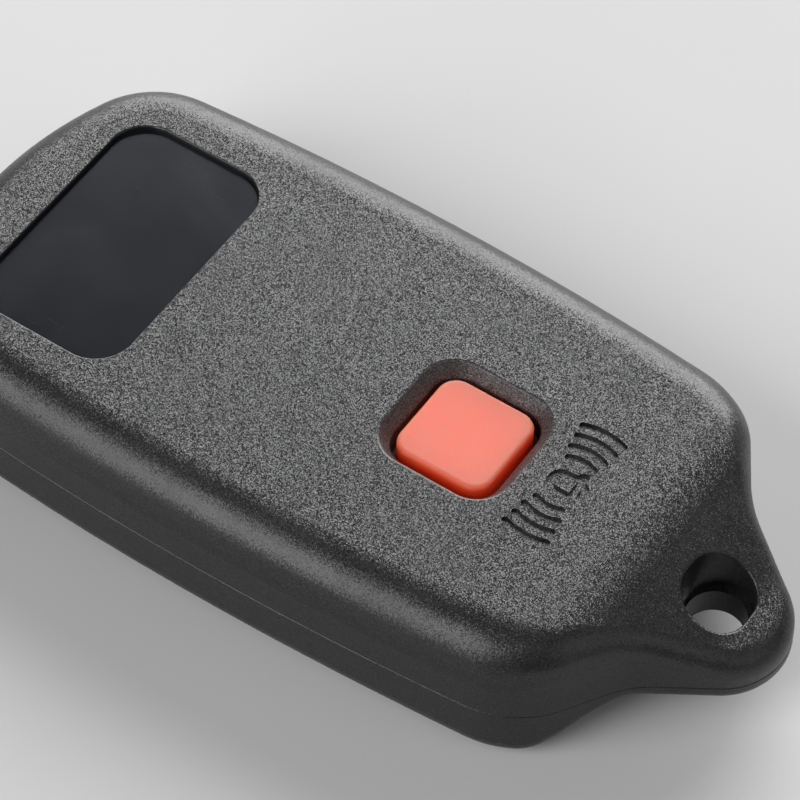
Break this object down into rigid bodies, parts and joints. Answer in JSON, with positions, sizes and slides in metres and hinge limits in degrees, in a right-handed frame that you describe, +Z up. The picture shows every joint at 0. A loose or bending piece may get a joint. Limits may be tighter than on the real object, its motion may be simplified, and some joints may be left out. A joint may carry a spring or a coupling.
{
  "type": "car key fob",
  "caption": "Flat two-shell remote key fob with a tapered key-ring lug, a recessed alarm button and label recess on its rear, and oval push buttons in its front.",
  "frame": {"origin": "on the rest surface, below the middle of the outline, with the fob lying on its front face", "axes": "+Z up out of the rear cover towards the alarm button, +X along the fob towards the key-ring lug, +Y across it"},
  "size_m": [0.071, 0.0342, 0.012],
  "materials": {
    "shell": "fine spark-eroded grain",
    "label": "satin",
    "alarm_rubber": "soft matte",
    "front_rubber": "soft matte",
    "module": "satin",
    "gasket": "soft matte",
    "board": "solder mask",
    "steel": "brushed",
    "spring_steel": "satin",
    "switch": "moulded",
    "plunger": "moulded",
    "light_pipe": "clear",
    "indicator": "clear",
    "chip": "moulded",
    "can": "satin",
    "capacitor": "fired",
    "resistor": "fired",
    "antenna": "satin"
  },
  "bodies": {
    "housing": {"rear_cover": "shell", "front_cover": "shell", "label_plate": "label", "module_case": "module", "module_cover": "module", "sealing_gasket": "gasket", "circuit_board": "board", "coin_cell": "steel", "positive_contact": "spring_steel", "negative_contact": "spring_steel", "alarm_switch": "switch", "lock_switch": "switch", "unlock_switch": "switch", "hatch_switch": "switch", "light_pipe": "light_pipe", "indicator_light": "indicator", "controller_chip": "chip", "radio_resonator": "can", "timing_crystal": "can", "capacitors": "capacitor", "resistors": "resistor", "antenna_loop": "antenna"},
    "alarm_key": {"alarm_button": "alarm_rubber", "alarm_plunger": "plunger"},
    "lock_key": {"lock_button": "front_rubber", "lock_plunger": "plunger"},
    "unlock_key": {"unlock_button": "front_rubber", "unlock_plunger": "plunger"},
    "hatch_key": {"hatch_button": "front_rubber", "hatch_plunger": "plunger"}
  },
  "joints": [
    {"name": "alarm_press", "type": "slide", "parent": "housing", "child": "alarm_key", "axis": [0, 0, -1], "range_m": [0, 0.00035], "stiffness_N_per_m": 1500},
    {"name": "lock_press", "type": "slide", "parent": "housing", "child": "lock_key", "axis": [0, 0, 1], "range_m": [0, 0.0003], "stiffness_N_per_m": 1500},
    {"name": "unlock_press", "type": "slide", "parent": "housing", "child": "unlock_key", "axis": [0, 0, 1], "range_m": [0, 0.0003], "stiffness_N_per_m": 1500},
    {"name": "hatch_press", "type": "slide", "parent": "housing", "child": "hatch_key", "axis": [0, 0, 1], "range_m": [0, 0.0003], "stiffness_N_per_m": 1500}
  ]
}
